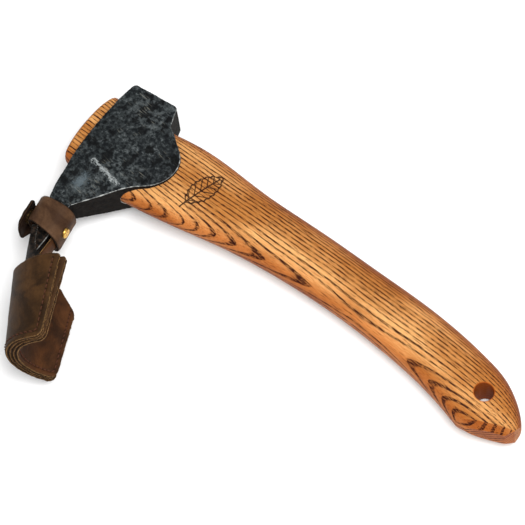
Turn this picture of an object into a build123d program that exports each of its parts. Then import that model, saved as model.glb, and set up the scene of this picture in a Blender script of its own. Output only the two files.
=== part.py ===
"""Bowl-carving gouge adze with a leather sheath, lying on its side.

The tool is drawn in its own axes: the origin is the middle of the head's eye, +X runs along the handle to the
butt, +Y points to the poll, and Z is the tool's width. One placement at the end lays it down on the three points
that it rests on and puts the origin under the middle of the whole object. Millimetres.
"""

from build123d import *
from math import cos, degrees, radians, sin
import os

# ---- driving dimensions ----
HEAD_HALF_WIDTH = 12.7        # half the width over the cheeks at the eye
POLL_HALF_WIDTH = 12.3
COLLAR_HALF_WIDTH = 8.0       # where the strap starts
NECK_HALF_WIDTH = 6.4         # inside the strap

HANDLE_END = 290.5
HOLE_AT = (263.2, 10.4)       # lanyard hole
HOLE_RADIUS = 5.6
HOLE_RIM = 0.4
BUTT_CHAMFER = 3.5

WEDGE_LENGTH = 36.0
WEDGE_THICKNESS = 4.0
WEDGE_HEIGHT = 42.0
RING_RADIUS = 6.5
RING_WALL = 1.3
RING_LENGTH = 16.0

BLADE_ANGLE = 34.0            # the blade's lean from -Y towards the handle
BLADE_RADIUS = 30.6           # convex side of the gouge
BLADE_AXIS = -14.6
BLADE_START = 58.0
BLADE_END = 130.6
BLADE_HALF_WIDTH = 24.3
BLADE_ROOT = 4.0              # thickness of the blade where it starts
BLADE_TIP = 0.7
BLADE_RIM = 22.0              # no part of the blade stands nearer the handle than this

LEATHER = 2.1
STRAP = 2.2
SHEATH_TOP = 87.0
SHEATH_END = 139.0
WELT_DEPTH = 7.5

STRAP_ANGLE = 14.0            # the neck's lean inside the strap
STRAP_TOP = (-2.0, -52.5)
STRAP_RIMS = (-52.4, -72.6)
STRAP_SIZE = (23.6, 22.8)
STRAP_CORNER = 8.8
FLAP_DROP = 5.0               # how much lower the loose end wraps than the band
FLAP_GAP = 1.8                # room for the snap between the band and the loose end
FLAP_TIP = 10.0
FLAP_WIDTH = 21.5
FLAP_CORNER = 6.5
FOLD_RADIUS = 1.8             # the band ends this far from the middle of the fold
FOLD_AT = (-11.3, -10.3)

SNAP_AT = -0.5
SNAP_LEVEL = 13.0
RIVET_TURN = 5.0
RIVET_LEVEL = 15.0
RIVET_GRIP = 5.5
RIVET_SHANK = 1.3              # radius, as are the four below
RIVET_CAP = 3.2
RIVET_WASHER = 2.6
SNAP_SHANK = 1.4
SNAP_CAP = 4.8
SNAP_FLANGE = (2.4, 0.6)       # radius and thickness
STUD_BASE = (4.3, 0.5)
STUD_NOSE = (2.3, 1.0)
SOCKET_RADII = (4.6, 2.8)
SOCKET_HEIGHT = 1.0
RIVET_DOME = (1.5, 1.3)        # height and edge rounding
SNAP_DOME = (1.0, 0.9)
TONGUE_RADIUS = 12.0
TONGUE_HALF_ANGLE = 30.0
TONGUE_OUT = 9.5               # its outer face, from the strap's middle
TONGUE_FROM = 7.5              # down the neck, hidden inside the strap
TONGUE_TO = 21.5
PANEL_HALF_ANGLE = 16.0

STITCH = 3.4
THREAD = 0.35
SEAM_INSET = 2.8

# The tool lies on the sheath's far edge, the butt and the far cheek.
REST_ROLL = -10.539
REST_PITCH = 0.865
REST_SHIFT = (-132.144, 52.094, 18.56)

# ---- planes ----
# Across the blade: local x is -Z, local y points to the hollow side, local z runs down the blade.
blade_down = Vector(sin(radians(BLADE_ANGLE)), -cos(radians(BLADE_ANGLE)), 0)
blade_hollow = Vector(cos(radians(BLADE_ANGLE)), sin(radians(BLADE_ANGLE)), 0)
blade_plane = Plane(origin=(0, 0, 0), x_dir=(0, 0, -1), z_dir=blade_down)
blade_side = Plane(origin=(0, 0, 0), x_dir=blade_down, z_dir=(0, 0, 1))
blade_front = Plane(origin=(0, 0, 0), x_dir=blade_down, z_dir=-blade_hollow)

# Across the strap: local x points to the handle's side, local y is Z, local z runs down the neck.
strap_down = Vector(sin(radians(STRAP_ANGLE)), -cos(radians(STRAP_ANGLE)), 0)
strap_out = Vector(cos(radians(STRAP_ANGLE)), sin(radians(STRAP_ANGLE)), 0)
strap_plane = Plane(origin=(*STRAP_TOP, 0), x_dir=strap_out, z_dir=strap_down)


def oval(half_height, half_thickness, squareness):
    """Twelve points of a closed oval; a squareness of 2 is an ellipse and more is boxier."""
    points = []
    for step in range(12):
        turn = radians(30 * step)
        across = abs(cos(turn)) ** (2 / squareness) * (1 if cos(turn) > 0 else -1)
        up = abs(sin(turn)) ** (2 / squareness) * (1 if sin(turn) > 0 else -1)
        points.append((across * half_height, up * half_thickness))
    return points


def arc_strip(radius, thickness, axis, half_angle):
    """A strip of even thickness bent round (0, axis), opening towards local +y."""
    side = radians(half_angle)
    inner = radius - thickness
    start = (-radius * sin(side), axis - radius * cos(side))
    end = (radius * sin(side), axis - radius * cos(side))
    inner_start = (-inner * sin(side), axis - inner * cos(side))
    inner_end = (inner * sin(side), axis - inner * cos(side))
    with BuildSketch() as strip:
        with BuildLine():
            ThreePointArc(start, (0, axis - radius), end)
            Line(end, inner_end)
            ThreePointArc(inner_end, (0, axis - inner), inner_start)
            Line(inner_start, start)
        make_face()
    return strip.sketch


# ---- handle ----
# station along X, middle of the section along Y, half height, half thickness, squareness
STATIONS = [
    (-34.0, -4.6, 24.0, 9.3, 3.4),
    (-16.0, -4.6, 24.3, 9.4, 3.4),
    (2.0, -4.1, 24.8, 9.6, 3.3),
    (20.0, -1.4, 25.6, 9.9, 3.0),
    (38.0, 1.9, 25.8, 10.2, 2.6),
    (60.0, 4.9, 23.8, 10.7, 2.4),
    (86.0, 8.0, 20.3, 11.1, 2.4),
    (112.0, 11.0, 18.6, 11.4, 2.4),
    (140.0, 13.4, 17.7, 11.6, 2.4),
    (168.0, 14.7, 17.3, 11.8, 2.4),
    (198.0, 15.1, 17.9, 12.0, 2.4),
    (228.0, 13.6, 18.6, 12.0, 2.4),
    (250.0, 10.5, 19.4, 11.6, 2.4),
    (264.0, 7.5, 19.6, 11.0, 2.4),
    (276.0, 3.9, 17.8, 10.2, 2.4),
    (284.0, 1.0, 15.2, 9.4, 2.4),
    (HANDLE_END, -1.6, 11.2, 8.4, 2.6),
]

with BuildPart() as handle_blank:
    for along, middle, half_height, half_thickness, squareness in STATIONS:
        station = Plane(origin=(along, middle, 0), x_dir=(0, 1, 0), z_dir=(1, 0, 0))
        with BuildSketch(station):
            with BuildLine():
                Spline(*oval(half_height, half_thickness, squareness), periodic=True)
            make_face()
    loft()
    # the proud end is cut to a shallow dome
    with BuildSketch():
        with BuildLine():
            ThreePointArc((-20.0, -33), (-25.6, -4), (-24.2, 25))
            Polyline((-24.2, 25), (-40, 25), (-40, -33), (-20.0, -33))
        make_face()
    extrude(amount=20, both=True, mode=Mode.SUBTRACT)
    fillet(handle_blank.faces().filter_by(GeomType.CYLINDER).edges(), radius=1.8)
    # the butt is sawn off at a slant on the belly side
    with BuildSketch():
        with BuildLine():
            Polyline((262.0, -12.6), (291.5, 0.8), (300, -40), (255, -40), (262.0, -12.6))
        make_face()
    extrude(amount=20, both=True, mode=Mode.SUBTRACT)
    sawn = handle_blank.faces().filter_by(GeomType.PLANE).sort_by(Axis.Y)[0]
    chamfer(sawn.edges(), length=BUTT_CHAMFER)

# ---- steel head ----
with BuildPart() as blade:
    with BuildSketch(blade_plane.offset(BLADE_START)):
        with Locations((0, BLADE_AXIS)):
            Circle(BLADE_RADIUS)
    extrude(amount=BLADE_END - BLADE_START)
    with BuildSketch(blade_plane.offset(BLADE_START)):
        with Locations((0, BLADE_AXIS)):
            Circle(BLADE_RADIUS - BLADE_ROOT)
    with BuildSketch(blade_plane.offset(BLADE_END)):
        with Locations((0, BLADE_AXIS)):
            Circle(BLADE_RADIUS - BLADE_TIP)
    loft(mode=Mode.SUBTRACT)
    # outline of the blade seen from its hollow side
    with BuildSketch(blade_front.offset(BLADE_RIM)):
        with BuildLine():
            Spline(
                (BLADE_START, NECK_HALF_WIDTH),
                (67, 8.4),
                (75, 13.5),
                (84, 21.0),
                (94, BLADE_HALF_WIDTH),
                tangents=[(1, 0), (1, 0.1)],
            )
            Line((94, BLADE_HALF_WIDTH), (119, BLADE_HALF_WIDTH))
            Spline(
                (119, BLADE_HALF_WIDTH),
                (126.5, 17.5),
                (BLADE_END - 0.2, 0),
                tangents=[(0.9, -0.5), (0, -1)],
            )
            mirror(about=Plane.XZ)
            Line((BLADE_START, NECK_HALF_WIDTH), (BLADE_START, -NECK_HALF_WIDTH))
        make_face()
    extrude(amount=60, mode=Mode.INTERSECT)

with BuildPart() as adze_head:
    with BuildSketch():
        with BuildLine():
            Polyline((-8.2, -54), (-10.7, -46.4), (-12.4, -37), (-14.3, -28.2))
            Spline((-14.3, -28.2), (-17.0, -10.3), (-18.7, 13.4), (-18.6, 27.8))
            ThreePointArc((-18.6, 27.8), (-17.7, 30.1), (-15.6, 31.0))
            Line((-15.6, 31.0), (8.6, 34.3))
            ThreePointArc((8.6, 34.3), (11.8, 33.6), (13.0, 31.4))
            Line((13.0, 31.4), (17.2, 22.2))
            Spline(
                (17.2, 22.2),
                (26.7, 17.1),
                (36.3, 9.8),
                (39.3, -0.6),
                (35.0, -12.2),
                (26.3, -21.1),
                (18.6, -32.0),
                (5.6, -51.0),
                tangents=[(1, -0.25), (-0.56, -0.83)],
            )
            Spline((5.6, -51.0), (5.2, -57.0), (7.4, -71.0), (8.6, -80.0), (10.2, -90.8))
            Line((10.2, -90.8), (7.2, -90.2))
            Spline((7.2, -90.2), (1.2, -81.0), (-4.4, -65.0), (-8.2, -54))
        make_face()
    extrude(amount=HEAD_HALF_WIDTH + 1, both=True)
    # the cheeks draw in towards the neck
    with BuildSketch(Plane.YZ):
        with BuildLine():
            Polyline((36, POLL_HALF_WIDTH), (12, HEAD_HALF_WIDTH), (-20, HEAD_HALF_WIDTH))
            Spline(
                (-20, HEAD_HALF_WIDTH),
                (-38, 10.7),
                (-54.5, COLLAR_HALF_WIDTH),
                (-60, NECK_HALF_WIDTH),
                (-94, NECK_HALF_WIDTH),
                tangents=[(-1, 0), (-1, 0)],
            )
            mirror(about=Plane.XZ)
            Line((-94, NECK_HALF_WIDTH), (-94, -NECK_HALF_WIDTH))
            Line((36, POLL_HALF_WIDTH), (36, -POLL_HALF_WIDTH))
        make_face()
    extrude(amount=60, both=True, mode=Mode.INTERSECT)
    add(handle_blank.part, mode=Mode.SUBTRACT)
    add(blade.part)

# ---- wedges ----
with BuildPart() as wedge_blank:
    with BuildSketch(Plane.XZ.offset(-WEDGE_HEIGHT / 2 + 4.5)):
        with BuildLine():
            Polyline(
                (-30, WEDGE_THICKNESS / 2 + 0.2),
                (-26 + WEDGE_LENGTH, 0.5),
                (-26 + WEDGE_LENGTH, -0.5),
                (-30, -WEDGE_THICKNESS / 2 - 0.2),
                close=True,
            )
        make_face()
    extrude(amount=WEDGE_HEIGHT)

with BuildPart() as ring_wedge:
    with BuildSketch(Plane(origin=(-26.2, -4.5, 0), x_dir=(0, 1, 0), z_dir=(1, 0, 0))):
        Circle(RING_RADIUS)
        Circle(RING_RADIUS - RING_WALL, mode=Mode.SUBTRACT)
    extrude(amount=RING_LENGTH)

with BuildPart() as eye_wedge:
    add(wedge_blank.part)
    add(handle_blank.part, mode=Mode.INTERSECT)
    add(ring_wedge.part, mode=Mode.SUBTRACT)

with BuildPart() as handle:
    add(handle_blank.part)
    add(wedge_blank.part, mode=Mode.SUBTRACT)
    add(ring_wedge.part, mode=Mode.SUBTRACT)
    with BuildSketch():
        with Locations(HOLE_AT):
            Circle(HOLE_RADIUS)
    extrude(amount=20, both=True, mode=Mode.SUBTRACT)
    rims = handle.faces().filter_by(GeomType.CYLINDER).filter_by(lambda f: abs(f.radius - HOLE_RADIUS) < 0.01)
    fillet(rims.edges().filter_by(lambda e: e.geom_type != GeomType.LINE), radius=HOLE_RIM)

# ---- leather sheath ----
# The panels taper from a wide mouth to a narrow end, so each is lofted between two bent strips.
# half_mouth and half_end are the half angles of the strips' free edges.
HALF_MOUTH = 85.0
HALF_END = 74.0
OUTER_MOUTH = (34.0, -16.9)    # radius and axis of the outer panel's outer face at the mouth
OUTER_END = (33.3, -14.0)
INNER_MOUTH = (27.7, -14.1)    # the same for the inner panel
INNER_END = (27.0, -14.0)


def between(mouth, end, down):
    """Radius and axis of a panel's face at a distance down the blade."""
    share = (down - SHEATH_TOP) / (SHEATH_END - SHEATH_TOP)
    return tuple(a + (b - a) * share for a, b in zip(mouth, end))


def panel_sections(mouth, end):
    """The two planes and sections that a panel is lofted between."""
    return [
        (blade_plane.offset(SHEATH_TOP), arc_strip(mouth[0], LEATHER, mouth[1], HALF_MOUTH)),
        (blade_plane.offset(SHEATH_END), arc_strip(end[0], LEATHER, end[1], HALF_END)),
    ]


with BuildPart() as sheath_outer_panel:
    for plane, section in panel_sections(OUTER_MOUTH, OUTER_END):
        with BuildSketch(plane):
            add(section)
    loft(ruled=True)

with BuildPart() as welt_window:
    with BuildSketch(blade_side):
        with BuildLine():
            Polyline(
                (SHEATH_TOP - 10, -60),
                (SHEATH_TOP - 10, -19.5 - WELT_DEPTH),
                (SHEATH_END - WELT_DEPTH - 4, -22.5 - WELT_DEPTH),
                (SHEATH_END - WELT_DEPTH, -27.0 - WELT_DEPTH),
                (SHEATH_END - WELT_DEPTH, -60),
                close=True,
            )
        make_face()
    extrude(amount=60, both=True)

with BuildPart() as sheath_outer_welt:
    mouth = (OUTER_MOUTH[0] - LEATHER, OUTER_MOUTH[1])
    end = (OUTER_END[0] - LEATHER, OUTER_END[1])
    for plane, section in panel_sections(mouth, end):
        with BuildSketch(plane):
            add(section)
    loft(ruled=True)
    add(welt_window.part, mode=Mode.SUBTRACT)

with BuildPart() as sheath_inner_welt:
    mouth = (INNER_MOUTH[0] + LEATHER, INNER_MOUTH[1])
    end = (INNER_END[0] + LEATHER, INNER_END[1])
    for plane, section in panel_sections(mouth, end):
        with BuildSketch(plane):
            add(section)
    loft(ruled=True)
    add(welt_window.part, mode=Mode.SUBTRACT)

# The tongue rises from the inner panel's mouth into the strap.
def tongue_section():
    """The tongue inside the strap, opening towards the neck."""
    side = radians(TONGUE_HALF_ANGLE)
    middle = TONGUE_OUT - TONGUE_RADIUS
    inner = TONGUE_RADIUS - LEATHER
    top = (middle + TONGUE_RADIUS * cos(side), TONGUE_RADIUS * sin(side))
    inner_top = (middle + inner * cos(side), inner * sin(side))
    with BuildSketch() as tongue:
        with BuildLine():
            ThreePointArc(top, (TONGUE_OUT, 0), (top[0], -top[1]))
            Line((top[0], -top[1]), (inner_top[0], -inner_top[1]))
            ThreePointArc((inner_top[0], -inner_top[1]), (TONGUE_OUT - LEATHER, 0), inner_top)
            Line(inner_top, top)
        make_face()
    return tongue.sketch


with BuildPart() as tongue_bend:
    with BuildSketch(strap_plane.offset(TONGUE_TO)):
        add(tongue_section())
    with BuildSketch(blade_plane.offset(SHEATH_TOP)):
        add(arc_strip(INNER_MOUTH[0], LEATHER, INNER_MOUTH[1], PANEL_HALF_ANGLE))
    loft(ruled=True)

with BuildPart() as sheath_inner_panel:
    for plane, section in panel_sections(INNER_MOUTH, INNER_END):
        with BuildSketch(plane):
            add(section)
    loft(ruled=True)
    with BuildSketch(strap_plane.offset(TONGUE_FROM)):
        add(tongue_section())
    extrude(amount=TONGUE_TO - TONGUE_FROM)
    add(tongue_bend.part)

# ---- stitching: short lengths of thread on both faces of the seam ----
FACES = [
    (OUTER_MOUTH, OUTER_END, THREAD + 0.1),
    (INNER_MOUTH, INNER_END, -LEATHER - THREAD - 0.1),
]


def on_face(mouth, end, lift, down, angle):
    """A point over a panel's face, at an angle round the blade."""
    radius, axis = between(mouth, end, down)
    reach = radius + lift
    across = reach * sin(radians(angle))
    up = axis - reach * cos(radians(angle))
    return blade_plane.from_local_coords(Vector(across, up, down))


def seam_angle(mouth, end, down):
    """Where the seam runs beside the free edge."""
    radius, axis = between(mouth, end, down)
    share = (down - SHEATH_TOP) / (SHEATH_END - SHEATH_TOP)
    edge = HALF_MOUTH + (HALF_END - HALF_MOUTH) * share
    return edge - degrees(SEAM_INSET / radius)


stitches = []
for mouth, end, lift in FACES:
    rows = int((SHEATH_END - SHEATH_TOP - 2 * SEAM_INSET) / STITCH)
    for row in range(rows):
        start = SHEATH_TOP + SEAM_INSET + row * STITCH
        stop = start + 0.7 * STITCH
        for side in (-1, 1):
            a = on_face(mouth, end, lift, start, side * seam_angle(mouth, end, start))
            b = on_face(mouth, end, lift, stop, side * seam_angle(mouth, end, stop))
            stitches.append((a, b))
    level = SHEATH_END - SEAM_INSET
    radius, axis = between(mouth, end, level)
    reach = seam_angle(mouth, end, level)
    count = int(2 * radians(reach) * radius / STITCH)
    for step in range(1, count - 1):
        angle = -reach + 2 * reach * step / count
        a = on_face(mouth, end, lift, level, angle)
        b = on_face(mouth, end, lift, level, angle + 0.7 * 2 * reach / count)
        stitches.append((a, b))

with BuildPart() as sheath_stitching:
    for a, b in stitches:
        with BuildSketch(Plane(origin=a, z_dir=b - a)):
            Circle(THREAD)
        extrude(amount=(b - a).length)

# ---- strap ----
with BuildPart() as strap_rims:
    with BuildSketch():
        with BuildLine():
            Polyline((-40, STRAP_RIMS[0] - 0.6), (40, STRAP_RIMS[0] + 0.6), (40, STRAP_RIMS[1] - 0.6),
                     (-40, STRAP_RIMS[1] + 0.6), close=True)
        make_face()
    extrude(amount=30, both=True)

with BuildPart() as strap_band:
    with BuildSketch(strap_plane.offset(-8)):
        RectangleRounded(*STRAP_SIZE, STRAP_CORNER)
        RectangleRounded(STRAP_SIZE[0] - 2 * STRAP, STRAP_SIZE[1] - 2 * STRAP, STRAP_CORNER - STRAP,
                         mode=Mode.SUBTRACT)
        # the far corner is open: the near end stops short and the far wall runs straight on to the fold
        with Locations((-STRAP_SIZE[0] / 2, -STRAP_SIZE[1] / 2)):
            Rectangle(2 * STRAP_CORNER + 1, 2 * STRAP_CORNER - 1, mode=Mode.SUBTRACT)
        with Locations(FOLD_AT):
            Rectangle(STRAP_SIZE[0] / 2 - 1.5, STRAP, align=(Align.MIN, Align.CENTER))
        with Locations(FOLD_AT):
            Circle(FOLD_RADIUS, mode=Mode.SUBTRACT)
    extrude(amount=40)
    add(strap_rims.part, mode=Mode.INTERSECT)

PLATE_IN = -STRAP_SIZE[0] / 2 - FLAP_GAP     # inner face of the loose end
PLATE_OUT = PLATE_IN - STRAP
with BuildPart() as flap_outline:
    with BuildSketch(Plane(origin=strap_plane.origin, x_dir=strap_down, z_dir=-strap_out)):
        with Locations((FLAP_DROP + FLAP_WIDTH / 2, (FOLD_AT[1] - 4 + FLAP_TIP) / 2)):
            RectangleRounded(FLAP_WIDTH, FLAP_TIP - FOLD_AT[1] + 4, FLAP_CORNER)
    extrude(amount=40, both=True)
    with BuildSketch(Plane(origin=strap_plane.origin, x_dir=strap_down, z_dir=-strap_out)):
        with Locations((FLAP_DROP + FLAP_WIDTH / 2, FOLD_AT[1])):
            Rectangle(FLAP_WIDTH, 14.0)
    extrude(amount=40, both=True)

with BuildPart() as strap_flap:
    with BuildSketch(strap_plane):
        with Locations(FOLD_AT):
            Circle(STRAP / 2)
        bend = FOLD_AT[0] - (PLATE_IN + PLATE_OUT) / 2
        with BuildLine():
            ThreePointArc(
                (FOLD_AT[0], FOLD_AT[1] - STRAP / 2),
                (FOLD_AT[0] - (bend + STRAP / 2) * sin(radians(45)),
                 FOLD_AT[1] + bend - (bend + STRAP / 2) * cos(radians(45))),
                (PLATE_OUT, FOLD_AT[1] + bend),
            )
            Polyline((PLATE_OUT, FOLD_AT[1] + bend), (PLATE_OUT, FLAP_TIP), (PLATE_IN, FLAP_TIP),
                     (PLATE_IN, FOLD_AT[1] + bend))
            ThreePointArc(
                (PLATE_IN, FOLD_AT[1] + bend),
                (FOLD_AT[0] - (bend - STRAP / 2) * sin(radians(45)),
                 FOLD_AT[1] + bend - (bend - STRAP / 2) * cos(radians(45))),
                (FOLD_AT[0], FOLD_AT[1] + STRAP / 2),
            )
            Line((FOLD_AT[0], FOLD_AT[1] + STRAP / 2), (FOLD_AT[0], FOLD_AT[1] - STRAP / 2))
        make_face()
    extrude(amount=40)
    add(flap_outline.part, mode=Mode.INTERSECT)

# ---- snap: cap and socket on the loose end, stud and post on the band ----
band_in = STRAP_SIZE[0] / 2 - STRAP
snap_centre = strap_plane.from_local_coords(Vector(0, SNAP_AT, SNAP_LEVEL))


def snap_plane(reach):
    """A plane across the snap's axis, at a distance from the strap's middle."""
    return Plane(origin=snap_centre - strap_out * reach, x_dir=(0, 0, 1), z_dir=-strap_out)


with BuildPart() as snap_post:
    with BuildSketch(snap_plane(band_in - SNAP_FLANGE[1])):
        Circle(SNAP_FLANGE[0])
    extrude(amount=SNAP_FLANGE[1])
    with BuildSketch(snap_plane(band_in)):
        Circle(SNAP_SHANK)
    extrude(amount=STRAP)

with BuildPart() as snap_stud:
    with BuildSketch(snap_plane(band_in + STRAP)):
        Circle(STUD_BASE[0])
    extrude(amount=STUD_BASE[1])
    with BuildSketch(snap_plane(band_in + STRAP + STUD_BASE[1])):
        Circle(STUD_NOSE[0])
    extrude(amount=STUD_NOSE[1])
    fillet(snap_stud.edges().sort_by(Axis(snap_centre, -strap_out))[-1], radius=0.5)

with BuildPart() as snap_socket:
    with BuildSketch(snap_plane(-PLATE_IN - SOCKET_HEIGHT)):
        Circle(SOCKET_RADII[0])
        Circle(SOCKET_RADII[1], mode=Mode.SUBTRACT)
    extrude(amount=SOCKET_HEIGHT)

with BuildPart() as snap_cap:
    with BuildSketch(snap_plane(-PLATE_IN)):
        Circle(SNAP_SHANK)
    extrude(amount=STRAP)
    with BuildSketch(snap_plane(-PLATE_OUT)):
        Circle(SNAP_CAP)
    extrude(amount=SNAP_DOME[0])
    fillet(snap_cap.edges().sort_by(Axis(snap_centre, -strap_out))[-1], radius=SNAP_DOME[1])

with BuildPart() as snap_holes:
    with BuildSketch(snap_plane(band_in - 1)):
        Circle(SNAP_SHANK)
    extrude(amount=12)

for leather in (strap_band, strap_flap):
    with leather:
        add(snap_holes.part, mode=Mode.SUBTRACT)

# ---- rivet through the strap and the tongue ----
corner = (STRAP_SIZE[0] / 2 - STRAP_CORNER, STRAP_SIZE[1] / 2 - STRAP_CORNER)
rivet_out = strap_out * cos(radians(RIVET_TURN)) + Vector(0, 0, 1) * sin(radians(RIVET_TURN))
rivet_seat = strap_plane.from_local_coords(
    Vector(
        corner[0] + STRAP_CORNER * cos(radians(RIVET_TURN)),
        corner[1] + STRAP_CORNER * sin(radians(RIVET_TURN)),
        RIVET_LEVEL,
    )
)


def rivet_plane(lift):
    """A plane across the rivet, above the strap's outer face."""
    return Plane(origin=rivet_seat + rivet_out * lift, x_dir=strap_down, z_dir=rivet_out)


with BuildPart() as rivet_cap:
    with BuildSketch(rivet_plane(0)):
        Circle(RIVET_CAP)
    extrude(amount=RIVET_DOME[0])
    fillet(rivet_cap.edges().sort_by(Axis(rivet_seat, rivet_out))[-1], radius=RIVET_DOME[1])

with BuildPart() as rivet_post:
    with BuildSketch(rivet_plane(0)):
        Circle(RIVET_SHANK)
    extrude(amount=-RIVET_GRIP)
    with BuildSketch(rivet_plane(-RIVET_GRIP)):
        Circle(RIVET_WASHER)
    extrude(amount=-0.5)

with BuildPart() as rivet_hole:
    with BuildSketch(rivet_plane(0.5)):
        Circle(RIVET_SHANK)
    extrude(amount=-RIVET_GRIP - 1)

for leather in (strap_band, sheath_inner_panel):
    with leather:
        add(rivet_hole.part, mode=Mode.SUBTRACT)

# ---- placement and files ----
PIECES = {
    "handle": handle,
    "adze_head": adze_head,
    "eye_wedge": eye_wedge,
    "ring_wedge": ring_wedge,
    "sheath_outer_panel": sheath_outer_panel,
    "sheath_outer_welt": sheath_outer_welt,
    "sheath_inner_welt": sheath_inner_welt,
    "sheath_inner_panel": sheath_inner_panel,
    "sheath_stitching": sheath_stitching,
    "strap_band": strap_band,
    "strap_flap": strap_flap,
    "snap_cap": snap_cap,
    "snap_socket": snap_socket,
    "snap_stud": snap_stud,
    "snap_post": snap_post,
    "rivet_cap": rivet_cap,
    "rivet_post": rivet_post,
}
lying = Pos(*REST_SHIFT) * Rot(0, REST_PITCH, 0) * Rot(REST_ROLL, 0, 0)
os.makedirs("parts", exist_ok=True)
for name, piece in PIECES.items():
    piece.part = lying * piece.part
    piece.part.label = name
    export_step(piece.part, f"parts/{name}.step")
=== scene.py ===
import math

import bmesh
import bpy
import numpy as np
from mathutils import Matrix, Vector, noise


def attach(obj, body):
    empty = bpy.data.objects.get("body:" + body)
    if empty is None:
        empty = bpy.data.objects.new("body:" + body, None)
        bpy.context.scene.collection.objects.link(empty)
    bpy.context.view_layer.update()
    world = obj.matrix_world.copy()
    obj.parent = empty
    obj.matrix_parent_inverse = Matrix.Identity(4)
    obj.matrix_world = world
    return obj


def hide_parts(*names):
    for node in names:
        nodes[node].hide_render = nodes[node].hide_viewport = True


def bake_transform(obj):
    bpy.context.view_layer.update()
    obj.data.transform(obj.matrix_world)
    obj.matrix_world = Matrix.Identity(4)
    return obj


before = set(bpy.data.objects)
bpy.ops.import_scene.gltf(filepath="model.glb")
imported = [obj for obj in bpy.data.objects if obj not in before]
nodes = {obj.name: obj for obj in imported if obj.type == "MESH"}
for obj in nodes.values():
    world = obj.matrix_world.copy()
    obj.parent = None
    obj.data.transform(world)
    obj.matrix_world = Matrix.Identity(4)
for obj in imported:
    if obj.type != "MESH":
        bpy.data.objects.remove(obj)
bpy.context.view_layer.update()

# ---------------------------------------------------------------- the tool's own axes
# Shapes are written in the tool's axes, in millimetres, and laid down by one placement. The origin is the
# middle of the eye, +x runs to the butt, +y to the poll and +z to the cheek that faces up.
TURN = Matrix.Rotation(math.radians(0.865), 3, "Y") @ Matrix.Rotation(math.radians(-10.539), 3, "X")
SHIFT = Vector((-132.144, 52.094, 18.56))
TURN_NP = np.array(TURN)
SHIFT_NP = np.array(SHIFT)


def laid(points):
    """Tool axes in mm to the row frame in metres."""
    return (np.asarray(points, float) @ TURN_NP.T + SHIFT_NP) / 1000.0


def laid_point(x, y, z):
    return Vector(laid([(x, y, z)])[0])


def laid_turn(v):
    return TURN @ Vector(v)


# ---------------------------------------------------------------- camera
RIGHT = Vector((0.7441839, 0.66420952, -0.070824))
DOWN = Vector((0.57099765, -0.68757747, -0.448552))
INTO = Vector((-0.3466295, 0.29336484, -0.89094616))
AIM_RIGHT, AIM_DOWN = -79.75, -66.99    # where the head's eye lies from the picture's middle, in mm
CAMERA_AWAY = 2000.0
SENSOR, LENS = 36.0, 236.45


def add_camera():
    data = bpy.data.cameras.new("camera")
    data.sensor_width = SENSOR
    data.lens = LENS
    data.clip_start = 0.05
    data.clip_end = 20.0
    camera = bpy.data.objects.new("camera", data)
    turn = Matrix([laid_turn(v) for v in (RIGHT, -DOWN, -INTO)]).transposed()
    place = -(RIGHT * AIM_RIGHT + DOWN * AIM_DOWN + INTO * CAMERA_AWAY)
    camera.matrix_world = Matrix.Translation(laid_point(*place)) @ turn.to_4x4()
    bpy.context.scene.collection.objects.link(camera)
    bpy.context.scene.camera = camera
    bpy.context.scene.view_settings.view_transform = "Standard"


add_camera()


# ---------------------------------------------------------------- node helpers
def srgb(r, g, b):
    """A colour from 0 to 255 as the linear colour that a shader takes."""
    def one(c):
        c /= 255.0
        return c / 12.92 if c <= 0.04045 else ((c + 0.055) / 1.055) ** 2.4
    return (one(r), one(g), one(b), 1.0)


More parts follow.
